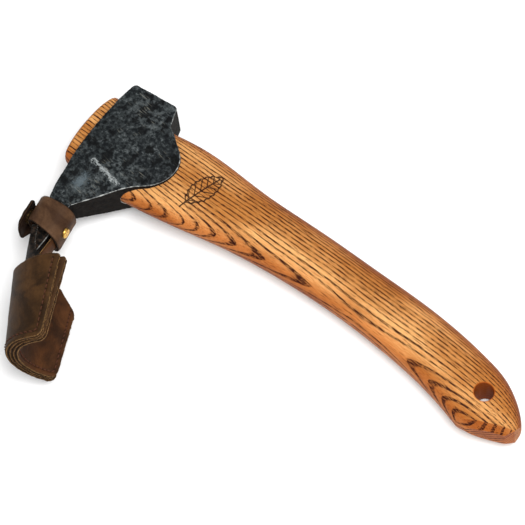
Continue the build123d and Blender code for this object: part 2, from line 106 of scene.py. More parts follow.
class Nodes:
    """Short names for building a material's nodes."""

    def __init__(self, name):
        self.material = bpy.data.materials.new(name)
        self.material.use_nodes = True
        self.tree = self.material.node_tree
        self.shader = self.tree.nodes["Principled BSDF"]

    def node(self, kind, **settings):
        made = self.tree.nodes.new(kind)
        for key, value in settings.items():
            setattr(made, key, value)
        return made

    def feed(self, socket, value):
        if isinstance(value, bpy.types.NodeSocket):
            self.tree.links.new(value, socket)
        else:
            socket.default_value = value

    def math(self, kind, a, b=None):
        made = self.node("ShaderNodeMath", operation=kind)
        for socket, value in zip(made.inputs, (a, b)):
            if value is not None:
                self.feed(socket, value)
        return made.outputs[0]

    def add(self, a, b):
        return self.math("ADD", a, b)

    def mul(self, a, b):
        return self.math("MULTIPLY", a, b)

    def sub(self, a, b):
        return self.math("SUBTRACT", a, b)

    def larger(self, a, b):
        return self.math("MAXIMUM", a, b)

    def size(self, a):
        return self.math("ABSOLUTE", a)

    def hypot(self, a, b):
        return self.math("SQRT", self.add(self.mul(a, a), self.mul(b, b)))

    def away(self, x, y, place):
        """The distance from a place in the tool's side view."""
        return self.hypot(self.sub(x, place[0]), self.sub(y, place[1]))

    def step(self, value, low, high):
        """0 below low and 1 above high, smooth between; low may be over high."""
        made = self.node("ShaderNodeMapRange", interpolation_type="SMOOTHSTEP")
        self.feed(made.inputs["Value"], value)
        made.inputs["From Min"].default_value = min(low, high)
        made.inputs["From Max"].default_value = max(low, high)
        if low > high:
            made.inputs["To Min"].default_value = 1.0
            made.inputs["To Max"].default_value = 0.0
        return made.outputs["Result"]

    def mix(self, factor, a, b, blend_type="MIX"):
        made = self.node("ShaderNodeMix", data_type="RGBA", blend_type=blend_type)
        self.feed(made.inputs["Factor"], factor)
        self.feed(made.inputs["A"], a)
        self.feed(made.inputs["B"], b)
        return made.outputs["Result"]

    def times(self, factor, a, b):
        return self.mix(factor, a, b, "MULTIPLY")

    def vector(self, x, y, z):
        made = self.node("ShaderNodeCombineXYZ")
        for socket, value in zip(made.inputs, (x, y, z)):
            self.feed(socket, value)
        return made.outputs[0]

    def noise(self, vector, size=1.0, detail=2.0, rough=0.5, distortion=0.0):
        """Noise whose lumps are about size mm across."""
        made = self.node("ShaderNodeTexNoise")
        self.feed(made.inputs["Vector"], vector)
        made.inputs["Scale"].default_value = 1 / size
        made.inputs["Detail"].default_value = detail
        made.inputs["Roughness"].default_value = rough
        made.inputs["Distortion"].default_value = distortion
        return made.outputs["Fac"]

    def streaks(self, xyz, long, wide, detail=2.0, rough=0.5):
        """Noise drawn out along the handle."""
        x, y, z = xyz
        drawn = self.vector(self.mul(x, 1 / long), self.mul(y, 1 / wide), self.mul(z, 1 / wide))
        return self.noise(drawn, detail=detail, rough=rough)

    def attribute(self, name, output="Fac"):
        return self.node("ShaderNodeAttribute", attribute_name=name).outputs[output]

    def tool_axes(self):
        """The shaded point in the tool's axes, in mm, as three sockets."""
        place = self.node("ShaderNodeTexCoord").outputs["Object"]
        out = []
        for k in range(3):
            axis = TURN.col[k]
            dot = self.node("ShaderNodeVectorMath", operation="DOT_PRODUCT")
            self.feed(dot.inputs[0], place)
            dot.inputs[1].default_value = axis * 1000.0
            out.append(self.sub(dot.outputs["Value"], axis.dot(SHIFT)))
        return out

    def facing(self, direction):
        """The true normal along a direction of the tool's axes."""
        dot = self.node("ShaderNodeVectorMath", operation="DOT_PRODUCT")
        self.feed(dot.inputs[0], self.node("ShaderNodeNewGeometry").outputs["True Normal"])
        dot.inputs[1].default_value = laid_turn(direction)
        return dot.outputs["Value"]

    def bump(self, height, distance, strength=1.0):
        made = self.node("ShaderNodeBump")
        made.inputs["Strength"].default_value = strength
        made.inputs["Distance"].default_value = distance
        self.feed(made.inputs["Height"], height)
        self.feed(self.shader.inputs["Normal"], made.outputs["Normal"])

    def set(self, **values):
        for key, value in values.items():
            self.feed(self.shader.inputs[key.replace("_", " ")], value)


# ---------------------------------------------------------------- wood
LATE_WOOD = (srgb(174, 116, 57), srgb(222, 170, 108))
TAWNY_RING = srgb(176, 112, 52)
FINE_GRAIN = srgb(206, 170, 132)
STAINED_PORE = srgb(46, 16, 10)
# painted shade for the handle's belly and back, turned from the light
BELLY_SHADE = srgb(216, 160, 112)
BACK_SHADE = srgb(200, 156, 118)
END_STAIN = srgb(232, 176, 112)
# painted shade for the walls of the lanyard hole
HOLE_SHADE = srgb(150, 72, 18)
BURNT_LINE = srgb(30, 12, 7)

RING_PITCH = 1.72                       # mm from one year's ring to the next
RING_RUNOUT = 0.012                     # how fast the rings leave the handle along it
PITH_AWAY = 150.0                       # the rings' middle, beyond the back on the far side
PITH_LEAN = math.radians(42)
LANYARD_HOLE = (263.2, 10.4)

LEAF_AT = (58.5, 5.0)
LEAF_TURN = math.radians(76)
LEAF_RADIUS, LEAF_OFFSET = 16.5, 10.0   # the outline is where two circles meet
LEAF_STEM = (-17.0, 11.2)
LEAF_VEIN_PITCH = 4.4


def year_rings(n, xyz):
    """Where the point lies between two rings, from 0 to 1, and a random number for that ring."""
    x, y, z = xyz
    wander = n.sub(n.streaks(xyz, 90, 40, detail=1.0), 0.5)
    ripple = n.sub(n.streaks(xyz, 14, 4, detail=1.0), 0.5)
    dy = n.sub(y, PITH_AWAY * math.cos(PITH_LEAN))
    dz = n.add(z, PITH_AWAY * math.sin(PITH_LEAN))
    away = n.add(n.hypot(dy, dz), n.add(n.mul(wander, 2.6), n.mul(ripple, 0.3)))
    away = n.add(away, n.mul(x, RING_RUNOUT))
    ring = n.mul(away, 1 / RING_PITCH)
    chance = n.node("ShaderNodeTexWhiteNoise", noise_dimensions="1D")
    n.feed(chance.inputs["W"], n.math("FLOOR", ring))
    return n.math("FRACT", ring), chance.outputs["Value"]


def stained_pores(n, xyz, phase, luck):
    """1 where the early wood's open pores took the stain, sharp on one side and broken on the other."""
    reach = n.add(0.22, n.mul(luck, 0.26))
    early = n.mul(n.step(phase, 0.0, 0.07), n.step(n.sub(phase, reach), 0.08, -0.08))
    vessels = n.streaks(xyz, 5.0, 0.5, detail=3.0, rough=0.6)
    dark = n.mul(early, n.add(0.24, n.mul(n.step(vessels, 0.43, 0.5), 0.76)))
    strays = n.mul(n.step(n.streaks(xyz, 8, 0.5), 0.6, 0.67), 0.7)
    return n.larger(dark, strays)


def leaf_lines(n, xyz):
    """1 on the lines of a leaf with a stem and veins, on the handle's upper side."""
    x, y, z = xyz
    c, s = math.cos(LEAF_TURN), math.sin(LEAF_TURN)
    dx = n.sub(x, LEAF_AT[0])
    dy = n.sub(y, LEAF_AT[1])
    along = n.add(n.mul(dx, c), n.mul(dy, s))
    side = n.size(n.sub(n.mul(dy, c), n.mul(dx, s)))
    rim = n.sub(n.hypot(along, n.add(side, LEAF_OFFSET)), LEAF_RADIUS)
    rim = n.add(rim, n.mul(n.math("SINE", n.mul(along, 1.9)), 0.35))
    outline = n.step(n.size(rim), 0.62, 0.3)
    inside = n.step(rim, -0.3, -0.6)
    foot, tip = LEAF_STEM
    stem_span = n.mul(n.step(along, foot - 0.5, foot), n.step(along, tip + 0.6, tip))
    stem = n.mul(n.step(side, 0.6, 0.3), stem_span)
    slant = n.sub(along, n.mul(side, 0.9))
    between = n.size(n.sub(n.math("FRACT", n.mul(slant, 1 / LEAF_VEIN_PITCH)), 0.5))
    veins = n.mul(n.step(between, 0.13, 0.06), inside)
    lines = n.larger(outline, n.larger(stem, veins))
    lines = n.mul(lines, n.step(n.streaks(xyz, 3, 0.7), 0.18, 0.4))
    return n.mul(lines, n.step(z, 4.0, 6.0))


def make_wood(name, emblem=True):
    n = Nodes(name)
    xyz = n.tool_axes()
    phase, luck = year_rings(n, xyz)
    dark = stained_pores(n, xyz, phase, luck)
    broad = n.streaks(xyz, 60, 14)
    fine = n.streaks(xyz, 5, 0.26)
    late = n.mix(n.step(broad, 0.35, 0.68), *LATE_WOOD)
    late = n.mix(n.mul(luck, 0.35), late, TAWNY_RING)
    late = n.times(n.mul(n.step(fine, 0.3, 0.7), 0.6), late, FINE_GRAIN)
    colour = n.mix(n.mul(dark, 0.98), late, STAINED_PORE)
    # painted shade: the belly and the back, side faces turned from the light, are darkened; the ends take the
    # stain more
    colour = n.times(n.mul(n.step(n.facing((0, -1, 0)), 0.1, 0.85), 0.75), colour, BELLY_SHADE)
    colour = n.times(n.mul(n.step(n.facing((0, 1, 0)), 0.1, 0.8), 0.9), colour, BACK_SHADE)
    colour = n.times(n.mul(n.step(n.size(n.facing((1, 0, 0))), 0.35, 0.8), 0.55), colour, END_STAIN)
    # painted shade: the lanyard hole's walls are painted a darker brown
    hole = n.away(xyz[0], xyz[1], LANYARD_HOLE)
    colour = n.mix(n.mul(n.step(hole, 6.5, 5.7), 0.92), colour, HOLE_SHADE)
    groove = n.mul(dark, -1.0)
    if emblem:
        mark = leaf_lines(n, xyz)
        colour = n.mix(n.mul(mark, 0.92), colour, BURNT_LINE)
        groove = n.sub(groove, n.mul(mark, 2.0))
    n.set(Base_Color=colour, Roughness=n.add(0.44, n.mul(dark, 0.25)), Specular_IOR_Level=0.08)
    n.bump(groove, 0.00012, 0.6)
    return n.material


# ---------------------------------------------------------------- forged steel
SCALE_BLACK = srgb(12, 13, 14)
DEEP_GREY = (srgb(18, 21, 23), srgb(44, 48, 49))
CLOUD_GREY = srgb(70, 75, 76)
CORNER_GREY = srgb(22, 24, 26)
FLAKE_GREY = srgb(88, 93, 94)
BLACK_SPOT = srgb(13, 14, 14)
FILE_MARK = srgb(112, 110, 100)
RUBBED = srgb(150, 155, 155)
PALE_NECK = srgb(104, 116, 122)
# painted shade for the head's narrow faces
SIDE_SHADE = (srgb(6, 4, 3), srgb(20, 13, 8))
# painted shade for the neck below the strap
LOW_NECK_SHADE = (srgb(10, 8, 6), srgb(46, 31, 19))
# worn edge with a painted highlight
WORN_EDGE_HIGHLIGHT = srgb(168, 170, 167)

BLACK_SPOTS = ((18.2, 3.6, 3.6), (33.7, 8.0, 3.4), (26.0, -14.0, 3.0))      # x, y and radius
STREAK_FROM = (-4.2, -21.6)
STREAK_TO = (19.0, -24.4)
FILING_LEAN = math.radians(-4)
LOWER_RIGHT = (0.95, -0.3, 0)


def mottled(n, x, y, xyz, coarse, small, specks):
    """Forge scale: dark ground, grey clouds, black scale and pale flakes."""
    colour = n.mix(n.step(small, 0.38, 0.6), *DEEP_GREY)
    clouds = n.step(n.noise(xyz, 22, detail=3.0, rough=0.55), 0.46, 0.62)
    colour = n.mix(n.mul(n.mul(clouds, n.step(small, 0.42, 0.6)), 0.6), colour, CLOUD_GREY)
    colour = n.mix(n.mul(n.mul(n.step(x, 8, 30), n.step(y, -28, -8)), 0.35), colour, CORNER_GREY)
    colour = n.mix(n.mul(n.step(coarse, 0.52, 0.58), 0.85), colour, SCALE_BLACK)
    flakes = n.step(n.add(n.mul(small, 0.6), n.mul(specks, 0.4)), 0.54, 0.6)
    flakes = n.mul(flakes, n.step(coarse, 0.55, 0.42))
    colour = n.mix(n.mul(flakes, 0.7), colour, FLAKE_GREY)
    for px, py, radius in BLACK_SPOTS:
        gap = n.add(n.away(x, y, (px, py)), n.mul(n.sub(small, 0.5), 7.0))
        colour = n.mix(n.mul(n.step(gap, radius, radius - 1.2), 0.8), colour, BLACK_SPOT)
    return colour


def rubbed_streak(n, x, y):
    """1 on the line from STREAK_FROM to STREAK_TO, fading to its sides and ends."""
    ax, ay = STREAK_FROM
    bx, by = STREAK_TO
    length = math.hypot(bx - ax, by - ay)
    ux, uy = (bx - ax) / length, (by - ay) / length
    dx, dy = n.sub(x, ax), n.sub(y, ay)
    along = n.add(n.mul(dx, ux), n.mul(dy, uy))
    across = n.size(n.sub(n.mul(dy, ux), n.mul(dx, uy)))
    ends = n.mul(n.step(along, -1.5, 1.5), n.step(along, length + 1.5, length - 1.5))
    return n.mul(ends, n.step(across, 3.0, 0.2))


def rubbed_cheek(n, colour, x, y, z, xyz, small, specks):
    """File marks, one ragged rubbed streak across the lower cheek, and a paler patch on the neck."""
    c, s = math.cos(FILING_LEAN), math.sin(FILING_LEAN)
    along = n.add(n.mul(x, c), n.mul(y, s))
    across = n.sub(n.mul(y, c), n.mul(x, s))
    marks = n.noise(n.vector(n.mul(along, 1 / 7), n.mul(across, 1 / 0.6), n.mul(z, 1 / 3)), detail=3.0)
    area = n.noise(xyz, 14, detail=1.0)
    marks = n.mul(n.step(marks, 0.6, 0.72), n.step(area, 0.5, 0.64))
    colour = n.mix(n.mul(marks, 0.6), colour, FILE_MARK)
    ragged_x = n.add(x, n.mul(n.sub(specks, 0.5), 5.0))
    ragged_y = n.add(y, n.mul(n.sub(small, 0.5), 9.0))
    streak = rubbed_streak(n, ragged_x, ragged_y)
    grain = n.noise(n.vector(n.mul(along, 1 / 2.2), n.mul(across, 1 / 0.8), z), detail=5.0, rough=0.75)
    streak = n.mul(n.step(streak, 0.02, 0.4), n.step(n.add(n.mul(streak, 0.3), grain), 0.67, 0.88))
    streak = n.mul(streak, n.step(z, 5.0, 7.0))
    colour = n.mix(n.mul(streak, 0.85), colour, RUBBED)
    pale = n.hypot(n.sub(x, 0.3), n.mul(n.add(y, 36.5), 0.6))
    pale = n.step(n.add(pale, n.mul(n.sub(n.add(small, specks), 1.0), 9.0)), 4.6, 0.8)
    return n.mix(n.mul(n.mul(pale, n.step(z, 3.0, 5.0)), 0.5), colour, PALE_NECK)


def make_steel(name):
    n = Nodes(name)
    x, y, z = n.tool_axes()
    xyz = n.vector(x, y, z)
    coarse = n.noise(xyz, 8, detail=5.0, rough=0.62)
    small = n.noise(xyz, 2.2, detail=5.0, rough=0.68)
    specks = n.noise(xyz, 0.9, detail=3.0, rough=0.7)
    colour = mottled(n, x, y, xyz, coarse, small, specks)
    colour = rubbed_cheek(n, colour, x, y, z, xyz, small, specks)
    # painted shade: the narrow faces, turned from the light, are painted near-black brown
    side = n.step(n.size(n.facing((0, 0, 1))), 0.6, 0.25)
    colour = n.mix(n.mul(side, 0.93), colour, n.mix(n.step(small, 0.35, 0.65), *SIDE_SHADE))
    # painted shade: the neck below the strap, in shade between the strap and the sheath, is painted near-black
    # and brown
    low = n.step(y, -58.0, -66.0)
    colour = n.mix(n.mul(low, 0.85), colour, n.mix(n.step(small, 0.45, 0.62), *LOW_NECK_SHADE))
    # edges rubbed bright by wear, with a painted highlight: only the edges facing the lower right, in broken
    # lengths
    wear = n.attribute("wear")
    lower_right = n.step(n.facing(LOWER_RIGHT), 0.05, 0.35)
    broken = n.step(n.noise(xyz, 5, detail=3.0, rough=0.7), 0.44, 0.58)
    bright = n.step(n.add(wear, n.mul(n.sub(specks, 0.5), 0.4)), 0.55, 0.8)
    bright = n.mul(n.mul(bright, n.add(0.1, n.mul(lower_right, 0.9))), n.add(0.3, n.mul(broken, 0.65)))
    colour = n.mix(bright, colour, WORN_EDGE_HIGHLIGHT)
    n.set(Base_Color=colour, Metallic=0.0, Specular_IOR_Level=0.04)
    n.set(Roughness=n.sub(n.add(0.5, n.mul(small, 0.24)), n.mul(bright, 0.12)))
    height = n.add(n.mul(coarse, 1.6), n.add(n.mul(small, 0.8), n.mul(specks, 0.3)))
    n.bump(height, 0.00035, 0.7)
    return n.material


# ---------------------------------------------------------------- leather, thread, brass
PATCH_TINT = srgb(196, 184, 174)
CREASE_TINT = srgb(150, 138, 128)
EDGE_GAP = srgb(18, 11, 6)
# painted shade between leather layers and in stitch holes
PAINTED_SHADE_BROWN = srgb(26, 18, 12)
TAN_EDGE = srgb(166, 124, 78)


def make_leather(name, deep, lit, edge, pull):
    """Oiled leather for a sheet with its flat coordinates in mm, raw-edge share and painted shade in
    attributes.

    The colour runs from deep toward lit by pull, and edge is the raw edge's fibres.
    """
    n = Nodes(name)
    flat = n.attribute("flat", "Vector")
    raw = n.attribute("raw")
    clouds = n.noise(flat, 17, detail=3.0, rough=0.6, distortion=0.6)
    patches = n.noise(flat, 4.5, detail=4.0, rough=0.65)
    creases = n.noise(flat, 1.1, detail=4.0, rough=0.7)
    colour = n.mix(n.mul(n.step(clouds, 0.34, 0.68), pull), deep, lit)
    colour = n.times(n.mul(n.step(patches, 0.4, 0.7), 0.35), colour, PATCH_TINT)
    colour = n.times(n.mul(n.step(creases, 0.62, 0.4), 0.22), colour, CREASE_TINT)
    pores = n.node("ShaderNodeTexVoronoi", feature="F1")
    n.feed(pores.inputs["Vector"], flat)
    pores.inputs["Scale"].default_value = 1 / 0.8
    pits = n.step(pores.outputs["Distance"], 0.0, 0.35)
    # raw edges: tan fibres with dark gaps
    fibres = n.noise(flat, 0.55, detail=4.0, rough=0.8)
    edge_colour = n.mix(n.step(fibres, 0.43, 0.58), EDGE_GAP, edge)
    colour = n.mix(n.mul(n.step(raw, 0.3, 0.85), 0.92), colour, edge_colour)
    # painted shade, from the shade attribute
    colour = n.times(n.attribute("shade"), colour, PAINTED_SHADE_BROWN)
    n.set(Base_Color=colour, Roughness=n.add(0.62, n.mul(raw, 0.3)), Specular_IOR_Level=0.1)
    height = n.add(n.mul(pits, 0.5), n.add(n.mul(creases, 0.7), n.mul(n.mul(raw, fibres), 3.0)))
    n.bump(height, 0.00022, 0.65)
    return n.material


def make_thread():
    n = Nodes("waxed_thread")
    twist = n.noise(n.vector(*n.tool_axes()), 0.5)
    n.set(Base_Color=n.mix(twist, srgb(60, 34, 26), srgb(92, 58, 44)), Roughness=0.85)
    n.set(Specular_IOR_Level=0.08)
    n.bump(twist, 0.0001, 0.6)
    return n.material


def make_brass(name, bright, dull):
    n = Nodes(name)
    xyz = n.vector(*n.tool_axes())
    patina = n.noise(xyz, 1.3, detail=4.0)
    fine = n.noise(xyz, 0.3)
    n.set(Base_Color=n.mix(n.step(patina, 0.4, 0.68), bright, dull), Metallic=0.95)
    n.set(Roughness=n.add(0.22, n.mul(fine, 0.2)))
    n.bump(fine, 0.00004, 0.5)
    return n.material


def make_bare_steel():
    n = Nodes("bare_steel")
    rub = n.noise(n.vector(*n.tool_axes()), 1.5, detail=4.0)
    n.set(Base_Color=n.mix(rub, srgb(70, 70, 70), srgb(150, 148, 144)), Metallic=0.8)
    n.set(Roughness=n.add(0.35, n.mul(rub, 0.25)))
    n.bump(rub, 0.0001, 0.5)
    return n.material


WOOD = make_wood("ash_wood")
WEDGE_WOOD = make_wood("wedge_wood", emblem=False)
STEEL = make_steel("blackened_steel")
SHEATH = make_leather("sheath_leather", srgb(40, 25, 10), srgb(76, 51, 26), TAN_EDGE, 0.85)
INNER = make_leather("lining_leather", srgb(46, 26, 11), srgb(84, 50, 24), TAN_EDGE, 0.8)
WELT = make_leather("welt_leather", srgb(58, 38, 22), srgb(84, 58, 34), srgb(150, 110, 68), 0.6)
STRAP = make_leather("strap_leather", srgb(58, 38, 24), srgb(96, 70, 49), srgb(52, 36, 24), 0.9)
# painted shade: the strap end's flesh side is painted near-black, for it lies in deep shadow
SHADED_END_LEATHER = make_leather("strap_end_leather", srgb(20, 12, 8), srgb(44, 28, 18), srgb(74, 52, 35), 0.9)
THREAD = make_thread()
BRASS = make_brass("rivet_brass", srgb(222, 178, 92), srgb(150, 108, 44))
# painted shade: the snap's brass is painted dark, for it sits in shadow between the strap's layers
SHADED_BRASS = make_brass("snap_brass", srgb(116, 94, 62), srgb(48, 36, 22))
BARE_STEEL = make_bare_steel()

DRESSED = {
    "handle": WOOD,
    "eye_wedge": WEDGE_WOOD,
    "ring_wedge": BARE_STEEL,
    "rivet_cap": BRASS,
    "rivet_post": BRASS,
    "snap_cap": SHADED_BRASS,
    "snap_socket": SHADED_BRASS,
    "snap_stud": SHADED_BRASS,
    "snap_post": SHADED_BRASS,
}
for node, material in DRESSED.items():
    nodes[node].data.materials.clear()
    nodes[node].data.materials.append(material)


# ---------------------------------------------------------------- mesh helpers
def add_attribute(mesh, name, values):
    """A float or a vector at each point of a mesh."""
    values = np.asarray(values, np.float32)
    kind, field = ("FLOAT_VECTOR", "vector") if values.ndim == 2 else ("FLOAT", "value")
    mesh.attributes.new(name, kind, "POINT").data.foreach_set(field, values.ravel())


def new_piece(name, verts, faces, material, slot, **attributes):
    """A smooth closed mesh from points in the row frame, its faces turned to look out."""
    mesh = bpy.data.meshes.new(name)
    mesh.from_pydata([tuple(v) for v in verts], [], [tuple(f) for f in faces])
    mesh.update()
    for key, values in attributes.items():
        add_attribute(mesh, key, values)
    mesh.materials.append(material)
    mesh.polygons.foreach_set("use_smooth", [True] * len(mesh.polygons))
    made = bpy.data.objects.new(name, mesh)
    bpy.context.scene.collection.objects.link(made)
    b = bmesh.new()
    b.from_mesh(mesh)
    bmesh.ops.recalc_face_normals(b, faces=b.faces)
    b.to_mesh(mesh)
    b.free()
    return made


# ---------------------------------------------------------------- forged head
REMESH_SIZE = 0.55
FULL_WEAR = 0.07            # how far an edge's points stand out from their neighbours, in mm
LONG_DENT, LONG_DENT_DEEP = 7.0, 0.10
SHORT_DENT, SHORT_DENT_DEEP = 2.2, 0.06
DENT_LEVEL = 0.05


def rounded_head_mesh():
    """The CAD head in mm, with its edges rounded over."""
    made = bpy.data.objects.new("forged_head", nodes["adze_head"].data.copy())
    bpy.context.scene.collection.objects.link(made)
    made.data.transform(Matrix.Scale(1000.0, 4))
    remesh = made.modifiers.new("remesh", "REMESH")
    remesh.mode = "VOXEL"
    remesh.voxel_size = REMESH_SIZE
    smooth = made.modifiers.new("smooth", "SMOOTH")
    smooth.iterations = 3
    smooth.factor = 0.5
    graph = bpy.context.evaluated_depsgraph_get()
    mesh = bpy.data.meshes.new_from_object(made.evaluated_get(graph))
    bpy.data.objects.remove(made)
    return mesh


def read_points(mesh, field):
    values = np.empty(len(mesh.vertices) * 3, np.float32)
    mesh.vertices.foreach_get(field, values)
    return values.reshape(-1, 3).astype(float)


def edge_wear(mesh, co, normal):
    """0 on faces and 1 on edges, from how far each point stands out from its neighbours."""
    edges = np.empty(len(mesh.edges) * 2, np.int32)
    mesh.edges.foreach_get("vertices", edges)
    a, b = edges.reshape(-1, 2).T
    total = np.zeros((len(co), 3))
    near = np.zeros(len(co))
    np.add.at(total, a, co[b])
    np.add.at(total, b, co[a])
    np.add.at(near, a, 1)
    np.add.at(near, b, 1)
    sharp = ((co - total / near[:, None]) * normal).sum(1)
    for _ in range(2):
        spread = np.zeros(len(co))
        np.add.at(spread, a, sharp[b])
        np.add.at(spread, b, sharp[a])
        sharp = 0.4 * sharp + 0.6 * spread / near
    return np.clip(sharp / FULL_WEAR, 0, 1)


def dent(p):
    long = noise.noise(Vector(p) / LONG_DENT) * LONG_DENT_DEEP
    return long + noise.noise(Vector(p) / SHORT_DENT + Vector((9, 3, 5))) * SHORT_DENT_DEEP


def forge_head():
    """The head with rounded edges and hammer dents in its faces."""
    mesh = rounded_head_mesh()
    co = read_points(mesh, "co")
    normal = read_points(mesh, "normal")
    wear = edge_wear(mesh, co, normal)
    dents = np.array([dent(p) for p in co])
    co = (co + normal * (dents - DENT_LEVEL)[:, None]) / 1000.0
    mesh.vertices.foreach_set("co", co.astype(np.float32).ravel())
    add_attribute(mesh, "wear", wear)
    mesh.materials.clear()
    mesh.materials.append(STEEL)
    mesh.polygons.foreach_set("use_smooth", [True] * len(mesh.polygons))
    mesh.update()
    head = bpy.data.objects.new("forged_head", mesh)
    bpy.context.scene.collection.objects.link(head)
    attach(head, "tool")
    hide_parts("adze_head")


forge_head()


# ---------------------------------------------------------------- leather sheets
# A sheet is a grid of flat places (s, t) in mm. A place function bends it: place(s, t, h) gives points in the
# tool's axes, with h the height over the sheet's under face.
def leaning(degrees):
    """The directions down and out in the side view, for a part that leans from the tool's -y."""
    lean = math.radians(degrees)
    down = np.array([math.sin(lean), -math.cos(lean), 0.0])
    return down, np.array([math.cos(lean), math.sin(lean), 0.0])


BLADE_DOWN, BLADE_HOLLOW = leaning(34.0)
STRAP_DOWN, STRAP_OUT = leaning(14.0)
STRAP_TOP = np.array([-2.0, -52.5, 0.0])
ACROSS = np.array([0.0, 0.0, 1.0])

RIM_LEVELS = (0.24, 0.5, 0.76)      # rows of points up a raw edge, and how far each stands out
RIM_BULGES = (0.13, 0.2, 0.13)
FRINGE = np.array([0.0, 0.18, 0.45, 0.85, 1.4, 2.0])


def wavy(points, size, amount, seed):
    """Smooth noise at each point, for edges and surfaces that aren't dead true."""
    flat = points.reshape(-1, 3) / size + seed
    return np.array([noise.noise(Vector(p)) for p in flat]).reshape(points.shape[:-1]) * amount


def smooth_share(x):
    return x * x * (3 - 2 * x)


def round_corner(s, t, s0, t0, s_sign, t_sign, radius):
    """Draws the square corner at (s0, t0) in to a quarter circle. Signs point out of the sheet."""
    cs, ct = s0 - s_sign * radius, t0 - t_sign * radius
    a = (s - cs) * s_sign / radius
    b = (t - ct) * t_sign / radius
    zone = (a > 0) & (b > 0)
    a1 = a * np.sqrt(np.maximum(1 - b * b / 2, 0))
    b1 = b * np.sqrt(np.maximum(1 - a * a / 2, 0))
    return np.where(zone, cs + s_sign * a1 * radius, s), np.where(zone, ct + t_sign * b1 * radius, t)


def even(low, high, step):
    """Positions from low to high, closer together at both ends."""
    count = max(2, int((high - low) / step))
    middle = np.linspace(low + FRINGE[-1], high - FRINGE[-1], count)
    return np.concatenate([low + FRINGE[:-1], middle, high - FRINGE[:-1][::-1]])


def open_sides(quads):
    """The cell sides with no neighbour, as pairs of points in the order that the cells go round."""
    sides = {(q[k], q[(k + 1) % 4]): True for q in quads.tolist() for k in range(4)}
    return [pair for pair in sides if (pair[1], pair[0]) not in sides]


def outward_push(sides, s, t):
    """The direction out of the sheet at each point, from the open sides that meet there."""
    push_s, push_t = np.zeros(len(s)), np.zeros(len(s))
    for a, b in sides:
        ds, dt = s[b] - s[a], t[b] - t[a]
        size = math.hypot(ds, dt) or 1.0
        for k in (a, b):
            push_s[k] += dt / size
            push_t[k] -= ds / size
    return push_s, push_t


def sheet(name, place, s, t, border, material, slot, thick, keep=None, seam=None, seed=0.0, fuzz=0.22,
          roundness=0.55):
    """A leather sheet with softly rounded faces and rough raw edges.

    border is the distance to the nearest raw edge, and keep says which cells are there. seam is (distance to
    the stitch line, distance to the nearest stitch hole along it).
    """
    count = s.size
    edge = np.clip(1 - border / (thick * roundness), 0, 1)
    lost = thick * 0.34 * (1 - np.sqrt(np.maximum(1 - edge ** 2, 0)))
    flat = np.stack([s, t, np.zeros_like(s)], -1)
    swell = wavy(flat, 6.0, 0.12, seed) + wavy(flat, 1.6, 0.04, seed + 5)
    groove = np.zeros_like(s)
    if seam is not None:
        off, along = seam
        groove = 0.28 * np.exp(-(off / 0.55) ** 2) + 0.5 * np.exp(-(off / 0.4) ** 2 - (along / 0.45) ** 2)
    top = place(s, t, thick - lost + swell * (1 - edge) - groove)
    under = place(s, t, lost - swell * 0.3 * (1 - edge))

    index = np.arange(count).reshape(s.shape)
    corners = (index[:-1, :-1], index[1:, :-1], index[1:, 1:], index[:-1, 1:])
    cells = np.ones(corners[0].shape, bool) if keep is None else keep
    quads = np.stack([c[cells] for c in corners], 1)
    faces = quads.tolist() + (quads[:, ::-1] + count).tolist()

    # raw edges: rows of rough points between the two faces
    sides = open_sides(quads)
    rim = np.array(sorted({k for pair in sides for k in pair}))
    rim_at = {k: i for i, k in enumerate(rim.tolist())}
    flat_s, flat_t = s.ravel(), t.ravel()
    push_s, push_t = outward_push(sides, flat_s, flat_t)
    long = np.hypot(push_s[rim], push_t[rim]) + 1e-9
    size = len(rim)
    verts = [top.reshape(-1, 3), under.reshape(-1, 3)]
    flats = [flat.reshape(-1, 3), flat.reshape(-1, 3) + (0, 0, 40)]
    for level, bulge in zip(RIM_LEVELS, RIM_BULGES):
        base = np.stack([flat_s[rim], flat_t[rim], np.full(size, level * 4)], 1)
        rough = wavy(base, 0.9, fuzz, seed + 2) + wavy(base, 4.0, fuzz, seed + 3)
        ps = flat_s[rim] + push_s[rim] / long * (bulge + rough)
        pt = flat_t[rim] + push_t[rim] / long * (bulge + rough)
        verts.append(place(ps, pt, np.full(size, thick * level)))
        flats.append(np.stack([ps + level * 7, pt, np.full(size, level * 3)], 1))
    verts = np.concatenate(verts)

    def up_the_rim(k):
        return [k + count] + [2 * count + row * size + rim_at[k] for row in range(3)] + [k]

    for a, b in sides:
        up_a, up_b = up_the_rim(a), up_the_rim(b)
        for k in range(4):
            faces.append((up_a[k], up_b[k], up_b[k + 1], up_a[k + 1]))
    used = np.unique(np.concatenate([np.asarray(f) for f in faces]))
    renumber = np.full(len(verts), -1)
    renumber[used] = np.arange(len(used))
    faces = [tuple(int(renumber[k]) for k in f) for f in faces]

    raw = np.concatenate([np.clip(1 - border.ravel() / 0.5, 0, 1) * 0.7] * 2 + [np.ones(3 * size)])
    # painted shade: the rim's own corners and the faces beside it are darkened, so that stacked layers read
    # apart
    near_rim = np.clip(1 - border.ravel() / 0.35, 0, 1)
    dark = np.concatenate([near_rim * 0.55, near_rim, np.full(size, 0.75), np.zeros(size), np.full(size, 0.45)])
    # painted shade in the stitch holes
    if seam is not None:
        dark[:count] = np.maximum(dark[:count], np.exp(-(off / 0.5) ** 2 - (along / 0.5) ** 2).ravel())
    flats = np.concatenate(flats)[used] + seed * 13
    return new_piece(name, laid(verts[used]), faces, material, slot, flat=flats, raw=raw[used],
                     shade=dark[used])


